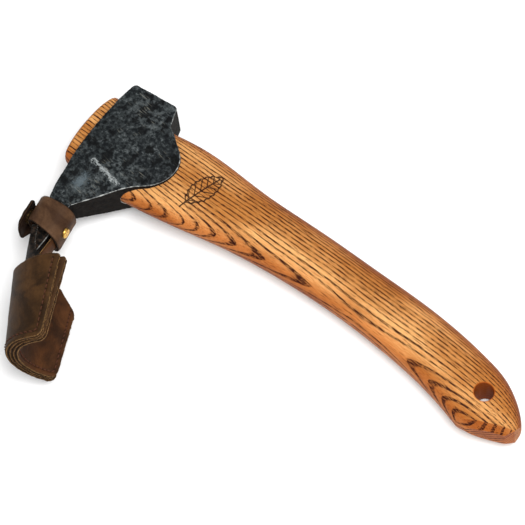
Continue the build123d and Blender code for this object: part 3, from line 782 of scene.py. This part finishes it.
# ---------------------------------------------------------------- sheath
TOP, END = 87.0, 139.0                              # the mouth and the end, down the blade
HALF_TOP, HALF_END = 85.0, 74.0                     # half the trough's angle there, in degrees
OUTER = ((34.0, -16.9), (33.3, -14.0))              # radius and middle of a face at the mouth and the end
INNER_FACE = ((27.7, -14.1), (27.0, -14.0))
MIDDLE_RADIUS = 30.5
WIDE = MIDDLE_RADIUS * math.radians(80)             # half the sheet's width along the bend
LEATHER = 2.1
END_CORNER, MOUTH_CORNER = 5.0, 2.0
INSET = 2.8                                         # the stitch line's distance from the edge
PITCH = 3.4
SPACER_WIDE = 7.5

FAR_SLANT, FAR_DEEP = 13.0, 13.0                    # the far corner's slant: how wide and how deep
RISE_WIDE, RISE_HIGH = 9.0, 3.2                     # the mouth's small rise beside it
NEAR_LEVEL, DIP_DEEP, DIP_AT, DIP_WIDE = 1.0, 2.2, 17.0, 13.0
CUT_FADE = 26.0


def mouth_cut(s, t):
    """Moves points down where the mouth is cut back, fading out down the sheath.

    The far corner is cut on a slant, with a small rise beside it, and the near side dips a little.
    """
    far = np.clip((-t - (WIDE - FAR_SLANT)) / FAR_SLANT, 0, 1)
    rise = smooth_share(np.clip((-t - (WIDE - FAR_SLANT - RISE_WIDE)) / RISE_WIDE, 0, 1))
    near = NEAR_LEVEL + DIP_DEEP * np.exp(-((t - DIP_AT) / DIP_WIDE) ** 2)
    fade = np.clip(1 - np.maximum(s - TOP, 0) / CUT_FADE, 0, 1)
    return s + (FAR_DEEP * far - RISE_HIGH * rise + near * (1 - rise)) * fade * (s >= TOP - 1.0)


def blade_point(radius, axis, angle, down):
    """A point on an arc round the gouge's axis, at a distance down the blade."""
    across = radius * np.sin(angle)
    up = axis - radius * np.cos(angle)
    return down[..., None] * BLADE_DOWN + up[..., None] * BLADE_HOLLOW + across[..., None] * ACROSS


def panel_place(faces, lift, inward):
    """Places a sheath layer. lift is its under face's step from the panel's outer face."""
    (r0, a0), (r1, a1) = faces

    def place(s, t, h):
        s = mouth_cut(s, t)
        share = (s - TOP) / (END - TOP)
        radius, axis = r0 + (r1 - r0) * share, a0 + (a1 - a0) * share
        half = np.radians(HALF_TOP + (HALF_END - HALF_TOP) * share)
        level = lift - h if inward else lift + h
        return blade_point(radius + level, axis, t / WIDE * half, s)
    return place


def from_three_sides(s, t):
    """The distance to the end or a long side, the three edges that are stitched."""
    return np.minimum(END - s, WIDE - np.abs(t))


def stitch_seam(s, t):
    """Each place's distance to the stitch line, and to the nearest hole along it."""
    off = np.abs(from_three_sides(s, t) - INSET)
    off = np.where((s - TOP) < INSET - 0.8, 9.0, off)
    beside = (WIDE - np.abs(t)) < (END - s)
    along = np.where(beside, s - TOP - INSET, t)
    return off, (0.5 - np.abs((along / PITCH) % 1 - 0.5)) * PITCH


def panel_corners(s, t):
    for side in (-1, 1):
        s, t = round_corner(s, t, END, side * WIDE, 1, side, END_CORNER)
        s, t = round_corner(s, t, TOP, side * WIDE, -1, side, MOUTH_CORNER)
    return s, t


def make_outer_layers():
    s, t = np.meshgrid(even(TOP, END, 0.9), even(-WIDE, WIDE, 0.9), indexing="ij")
    three = from_three_sides(s, t)
    border = np.minimum(s - TOP, three)
    seam = stitch_seam(s, t)
    s, t = panel_corners(s, t)
    outer = sheet("sheath_outer_leather", panel_place(OUTER, -LEATHER, False), s, t, border, SHEATH,
                  "sheath_leather", LEATHER, seam=seam, seed=1.3, fuzz=0.3)
    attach(outer, "tool")
    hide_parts("sheath_outer_panel")
    # the two spacers show only as raw edges on three sides
    three = from_three_sides(s, t)
    strip = (three[:-1, :-1] + three[1:, 1:]) / 2 < SPACER_WIDE
    first = sheet("sheath_outer_spacer", panel_place(OUTER, -2 * LEATHER, False), s, t * 0.992, border, WELT,
                  "welt_leather", LEATHER, keep=strip, seed=2.9, fuzz=0.5)
    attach(first, "tool")
    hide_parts("sheath_outer_welt")
    second = sheet("sheath_inner_spacer", panel_place(INNER_FACE, 0.0, False), s, t * 0.996, border, WELT,
                   "welt_leather", LEATHER, keep=strip, seed=4.1, fuzz=0.5)
    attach(second, "tool")
    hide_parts("sheath_inner_welt")


make_outer_layers()

# ---------------------------------------------------------------- inner panel, cut in one with its tongue
TONGUE_HALF = math.radians(16.0)
TONGUE_WIDE = 16.0 / HALF_TOP * WIDE                # half its width
TONGUE_LONG = 34.0
TONGUE_RADIUS, TONGUE_FACE = 12.0, 9.5              # its bend in the strap, and that face's place out
TONGUE_BEND = math.radians(30.0)
TONGUE_LOW, TONGUE_HIGH = 21.5, 7.5                 # where it enters the strap and ends, down the neck
KNEE = 0.56                                         # the share of its length that bends into the strap
KNEE_PULL = 19.0


def tongue_place(s, t, h):
    """s runs from TOP - TONGUE_LONG inside the strap to TOP at the mouth."""
    share = np.clip((TOP - s) / TONGUE_LONG, 0, 1)
    c = t / TONGUE_WIDE
    r0, a0 = INNER_FACE[0]
    low = blade_point(r0 - h, a0, c * TONGUE_HALF, np.full_like(s, TOP))
    reach = TONGUE_RADIUS - LEATHER + h
    x = TONGUE_FACE - TONGUE_RADIUS + reach * np.cos(c * TONGUE_BEND)
    z = reach * np.sin(c * TONGUE_BEND)

    def strap_point(down):
        return STRAP_TOP + x[..., None] * STRAP_OUT + z[..., None] * ACROSS + down * STRAP_DOWN
    enter = strap_point(TONGUE_LOW)
    top = strap_point(TONGUE_HIGH)
    # a smooth curve from the mouth to the strap, then straight up inside it
    w = np.clip(share / KNEE, 0, 1)[..., None]
    h00, h10 = 2 * w ** 3 - 3 * w ** 2 + 1, w ** 3 - 2 * w ** 2 + w
    h01, h11 = -2 * w ** 3 + 3 * w ** 2, w ** 3 - w ** 2
    lower = h00 * low - h10 * KNEE_PULL * BLADE_DOWN + h01 * enter - h11 * KNEE_PULL * STRAP_DOWN
    v = np.clip((share - KNEE) / (1 - KNEE), 0, 1)[..., None]
    return np.where(share[..., None] <= KNEE, lower, enter * (1 - v) + top * v)


def make_lining():
    panel = panel_place(INNER_FACE, 0.0, True)

    def place(s, t, h):
        body = panel(np.maximum(s, TOP - 0.9), t, h)
        on_stem = (s < TOP - 0.95) | ((s < TOP) & (np.abs(t) <= TONGUE_WIDE + 0.2))
        return np.where(on_stem[..., None], tongue_place(s, t, h), body)
    s_line = np.concatenate([even(TOP - TONGUE_LONG, TOP, 0.9)[:-1], even(TOP, END, 0.9)])
    t_line = even(-WIDE, WIDE, 0.9)
    clear = t_line[np.abs(np.abs(t_line) - TONGUE_WIDE) > 0.5]
    stem_lines = [-TONGUE_WIDE, TONGUE_WIDE, -TONGUE_WIDE + 0.3, TONGUE_WIDE - 0.3]
    s, t = np.meshgrid(s_line, np.sort(np.concatenate([clear, stem_lines])), indexing="ij")
    mid_s = (s[:-1, :-1] + s[1:, 1:]) / 2
    mid_t = (t[:-1, :-1] + t[1:, 1:]) / 2
    keep = (mid_s > TOP) | (np.abs(mid_t) < TONGUE_WIDE)
    on_stem = np.minimum(TONGUE_WIDE - np.abs(t), s - (TOP - TONGUE_LONG))
    mouth = np.where(np.abs(t) < TONGUE_WIDE, 9.0, np.abs(s - TOP))
    on_panel = np.minimum(from_three_sides(s, t), mouth)
    border = np.maximum(np.where(s < TOP, on_stem, on_panel), 0)
    seam = stitch_seam(s, t)
    s, t = panel_corners(s, t)
    made = sheet("sheath_inner_leather", place, s, t, border, INNER, "sheath_leather", LEATHER, keep=keep,
                 seam=seam, seed=6.7)
    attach(made, "tool")
    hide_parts("sheath_inner_panel")


make_lining()

# ---------------------------------------------------------------- stitching
THREAD_RADIUS = 0.32
THREAD_RING, THREAD_STEPS = 7, 7        # points round the thread, and rings along a stitch
STITCH_GAP = 0.55                       # from a stitch's end to its hole's middle


def measured(points):
    """A line's points, and how far each is along it."""
    points = np.array(points)
    return points, np.concatenate([[0], np.cumsum(np.hypot(*np.diff(points, axis=0).T))])


def stitch_line():
    """The seam down one side, round the end and up the other: points, and how far each is along it."""
    r = END_CORNER - INSET
    side = WIDE - INSET
    level = END - INSET
    parts = []
    for sign in (1, -1):
        part = [(d, sign * side) for d in np.arange(TOP + INSET, level - r, 0.2)]
        for a in np.linspace(0, math.pi / 2, 14):
            part.append((level - r + r * math.sin(a), sign * (side - r + r * math.cos(a))))
        parts.append(part)
    across = [(level, w) for w in np.arange(side - r, -(side - r), -0.2)]
    return measured(parts[0] + across + parts[1][::-1])


def add_stitch(verts, faces, place, s, t):
    """One length of thread over the leather, sunk at both ends and laid a little askew."""
    span = np.linspace(-1, 1, THREAD_STEPS)
    arch = 0.16 * np.sin(np.linspace(0, math.pi, THREAD_STEPS))
    lift = 0.12 + arch - 0.62 * (np.abs(span) ** 6)
    centre = place(s, t, lift)
    above = place(s, t, lift + 1.0) - centre
    along = np.gradient(centre, axis=0)
    along /= np.linalg.norm(along, axis=1)[:, None]
    above -= (above * along).sum(1)[:, None] * along
    above /= np.linalg.norm(above, axis=1)[:, None]
    beside = np.cross(along, above)
    skew = 0.12 * span[:, None] * beside
    base = len(verts)
    for i in range(THREAD_STEPS):
        thin = THREAD_RADIUS * (1.0 - 0.25 * abs(2 * i / (THREAD_STEPS - 1) - 1) ** 3)
        for j in range(THREAD_RING):
            a = 2 * math.pi * j / THREAD_RING
            round_it = beside[i] * math.cos(a) + above[i] * 0.8 * math.sin(a)
            verts.append(centre[i] + skew[i] + thin * round_it)
    for i in range(THREAD_STEPS - 1):
        for j in range(THREAD_RING):
            a, b = base + i * THREAD_RING + j, base + i * THREAD_RING + (j + 1) % THREAD_RING
            faces.append((a, b, b + THREAD_RING, a + THREAD_RING))
    last = base + (THREAD_STEPS - 1) * THREAD_RING
    faces.append(tuple(base + j for j in range(THREAD_RING))[::-1])
    faces.append(tuple(last + j for j in range(THREAD_RING)))


def make_stitching():
    path, run = stitch_line()
    count = int(run[-1] / PITCH)
    pitch = run[-1] / count
    verts, faces = [], []
    for place in (panel_place(OUTER, 0.0, False), panel_place(INNER_FACE, -LEATHER, True)):
        for k in range(count):
            where = np.linspace(k * pitch + STITCH_GAP, (k + 1) * pitch - STITCH_GAP, THREAD_STEPS)
            s = np.interp(where, run, path[:, 0])
            t = np.interp(where, run, path[:, 1])
            add_stitch(verts, faces, place, s, t)
    made = new_piece("sheath_thread", laid(np.array(verts)), faces, THREAD, "thread")
    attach(made, "tool")
    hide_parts("sheath_stitching")


make_stitching()

# ---------------------------------------------------------------- strap, one strip with its end folded over
STRAP_THICK = 2.2
BAND_X, BAND_Y, BAND_CORNER = 10.7, 10.3, 7.9       # the band's middle line round the neck
BAND_START = -4.5
FOLD = np.array([-11.3, -10.3])
LAP = 0.9                                           # the band ends this far before the fold
WRAP = 3.4                                          # the fold's radius at the middle of the leather
END_TIP = 8.6
CURL_FROM, CURL = 2.5, 1.2
BAND_WIDE, END_WIDE = 20.4, 21.5
TOP_RIM, LOW_RIM = (1.9, 0.075), (20.6, 0.27)       # a rim's place down the neck, and its slant along x
END_TOP_RIM, END_LOW_RIM = 5.0, 23.6
TIP_CORNER, LOW_TIP_CORNER = 6.0, 12.5
BLEND_FROM, BLEND_TO = -0.6, 2.4                    # mm past the fold, along its diagonal


def arc(cx, cy, r, start, stop, count=16):
    return [(cx + r * math.cos(a), cy + r * math.sin(a))
            for a in np.linspace(math.radians(start), math.radians(stop), count)]


def band_path():
    """Middle line of the band across the strap: points, and how far each is along it."""
    r = BAND_CORNER
    side, face = BAND_Y - r, BAND_X - r
    points = [(-BAND_X, y) for y in np.arange(BAND_START, side, 0.5)]
    points += arc(-face, side, r, 180, 90)
    points += [(x, BAND_Y) for x in np.arange(-face + 0.5, face, 0.5)]
    points += arc(face, side, r, 90, 0)
    points += [(BAND_X, y) for y in np.arange(side - 0.5, -side, -0.5)]
    points += arc(face, -side, r, 0, -90)
    points += [(x, -BAND_Y) for x in np.arange(face - 0.5, FOLD[0] + LAP, -0.5)]
    points += [(FOLD[0] + LAP, -BAND_Y)]
    return measured(points)


def end_path():
    """Middle line of the loose end, from just before the fold to the tip, which curls in a little."""
    points = [(x, FOLD[1]) for x in np.arange(FOLD[0] + LAP, FOLD[0], -0.3)]
    for a in np.linspace(0, math.pi / 2, 16):
        points.append((FOLD[0] - WRAP * math.sin(a), FOLD[1] + WRAP - WRAP * math.cos(a)))
    for y in np.arange(FOLD[1] + WRAP + 0.5, END_TIP + 0.01, 0.5):
        curl = max(0.0, y - CURL_FROM)
        points.append((FOLD[0] - WRAP + CURL * (curl / 6.0) ** 2, y))
    return measured(points)


def band_rims(s, x):
    return TOP_RIM[0] + TOP_RIM[1] * x, LOW_RIM[0] + LOW_RIM[1] * x


def end_rims(s, x):
    """The band's rims at the fold, running over to the loose end's own."""
    top, low = band_rims(s, FOLD[0])
    loose = smooth_share(np.clip(s / 4.0, 0, 1))
    return top * (1 - loose) + END_TOP_RIM * loose, low * (1 - loose) + END_LOW_RIM * loose


def strip_place(path, width, rims):
    """Places a strip bent along a path. rims gives its two long edges' distance down the neck."""
    points, run = path

    def place(s, w, h):
        x = np.interp(s, run, points[:, 0])
        y = np.interp(s, run, points[:, 1])
        ahead = np.clip(s + 0.6, 0, run[-1])
        behind = np.clip(s - 0.6, 0, run[-1])
        dx = np.interp(ahead, run, points[:, 0]) - np.interp(behind, run, points[:, 0])
        dy = np.interp(ahead, run, points[:, 1]) - np.interp(behind, run, points[:, 1])
        size = np.hypot(dx, dy)
        off = h - STRAP_THICK / 2
        top, low = rims(s, x)
        down = top + (low - top) * (w / width)
        px = x - dy / size * off
        py = y + dx / size * off
        return STRAP_TOP + px[..., None] * STRAP_OUT + py[..., None] * ACROSS + down[..., None] * STRAP_DOWN
    return place


def make_band():
    path = band_path()
    total = path[1][-1]
    s, w = np.meshgrid(even(0.0, total, 0.8), even(0.0, BAND_WIDE, 0.8), indexing="ij")
    border = np.minimum(s, np.minimum(w, BAND_WIDE - w))
    made = sheet("strap_band_leather", strip_place(path, BAND_WIDE, band_rims), s, w, border, STRAP,
                 "strap_leather", STRAP_THICK, seed=8.2, fuzz=0.12, roundness=0.7)
    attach(made, "tool")
    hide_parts("strap_band")


def make_loose_end():
    path = end_path()
    total = path[1][-1]
    s, w = np.meshgrid(even(0.0, total, 0.6), even(0.0, END_WIDE, 0.7), indexing="ij")
    border = np.minimum(total - s, np.minimum(w, END_WIDE - w))
    s, w = round_corner(s, w, total, 0.0, 1, -1, TIP_CORNER)
    s, w = round_corner(s, w, total, END_WIDE, 1, 1, LOW_TIP_CORNER)
    made = sheet("strap_end_leather", strip_place(path, END_WIDE, end_rims), s, w, border, SHADED_END_LEATHER,
                 "strap_leather", STRAP_THICK, seed=9.6, fuzz=0.3, roundness=0.7)
    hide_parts("strap_flap")
    fold = STRAP_TOP + FOLD[0] * STRAP_OUT + FOLD[1] * ACROSS + 14.0 * STRAP_DOWN
    diagonal = (ACROSS - STRAP_OUT) / math.sqrt(2)
    tuple(laid([fold + BLEND_FROM * diagonal])[0])
    tuple(laid([fold + BLEND_TO * diagonal])[0])
    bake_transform(made)


make_band()
make_loose_end()

# ---------------------------------------------------------------- floor and light
FLOOR_SPAN = 6.0
PAPER_WHITE = 0.94
SKY = 0.5
LAMPS_AIM = (125, -10, 0)


def add_floor():
    corners = [(x * FLOOR_SPAN, y * FLOOR_SPAN, 0) for x, y in ((-1, -1), (1, -1), (1, 1), (-1, 1))]
    mesh = bpy.data.meshes.new("floor")
    mesh.from_pydata(corners, [], [(0, 1, 2, 3)])
    floor = bpy.data.objects.new("floor", mesh)
    bpy.context.scene.collection.objects.link(floor)
    paper = Nodes("paper")
    paper.set(Base_Color=(PAPER_WHITE, PAPER_WHITE, PAPER_WHITE, 1), Roughness=0.9)
    mesh.materials.append(paper.material)


def add_sky():
    world = bpy.data.worlds.new("studio")
    world.use_nodes = True
    background = world.node_tree.nodes["Background"]
    background.inputs["Color"].default_value = (1, 1, 1, 1)
    background.inputs["Strength"].default_value = SKY
    bpy.context.scene.world = world


def lamp(name, toward, distance, size, power):
    """A square area light out along a direction of the tool's axes, aimed at the object's middle."""
    data = bpy.data.lights.new(name, "AREA")
    data.shape = "RECTANGLE"
    data.size = size
    data.size_y = size
    data.energy = power
    made = bpy.data.objects.new(name, data)
    direction = laid_turn(toward).normalized()
    place = Matrix.Translation(laid_point(*LAMPS_AIM) + direction * distance)
    made.matrix_world = place @ direction.to_track_quat("Z", "Y").to_matrix().to_4x4()
    bpy.context.scene.collection.objects.link(made)


add_floor()
add_sky()
lamp("key", -INTO * 0.95 - DOWN * 0.17 + RIGHT * 0.12, 1.6, 0.9, 32.0)
lamp("fill", -INTO * 0.9 + DOWN * 0.30 - RIGHT * 0.30, 1.8, 1.4, 5.0)
